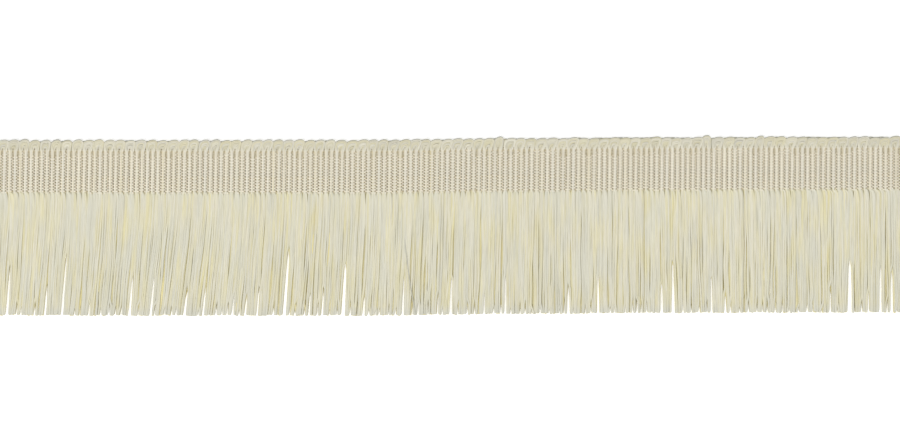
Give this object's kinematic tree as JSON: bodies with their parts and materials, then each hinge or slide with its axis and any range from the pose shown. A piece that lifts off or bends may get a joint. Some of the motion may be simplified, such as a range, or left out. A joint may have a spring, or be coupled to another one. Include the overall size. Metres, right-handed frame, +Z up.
{
  "type": "fringe trim",
  "caption": "Cut length of ivory brush fringe trim lying flat: a ribbed woven heading with a looped upper edge and a thick fringe of loose yarns cut off level.",
  "frame": {"origin": "centre of the box's base, on the surface that the trim lies on", "axes": "+X along the trim, +Y from the cut hem to the heading, +Z up from the surface"},
  "size_m": [0.3454, 0.0658, 0.0022],
  "materials": {
    "woven_heading": "matt ribbed weave of ivory yarn bound with fine beige warp threads",
    "looped_yarn": "soft ivory yarn turned back in loops",
    "fringe_yarn": "soft ivory yarn with a faint silky sheen, cut off level"
  },
  "bodies": {
    "root": {"heading": "woven_heading", "looped_edge": "looped_yarn", "fringe": "fringe_yarn"}
  },
  "joints": []
}
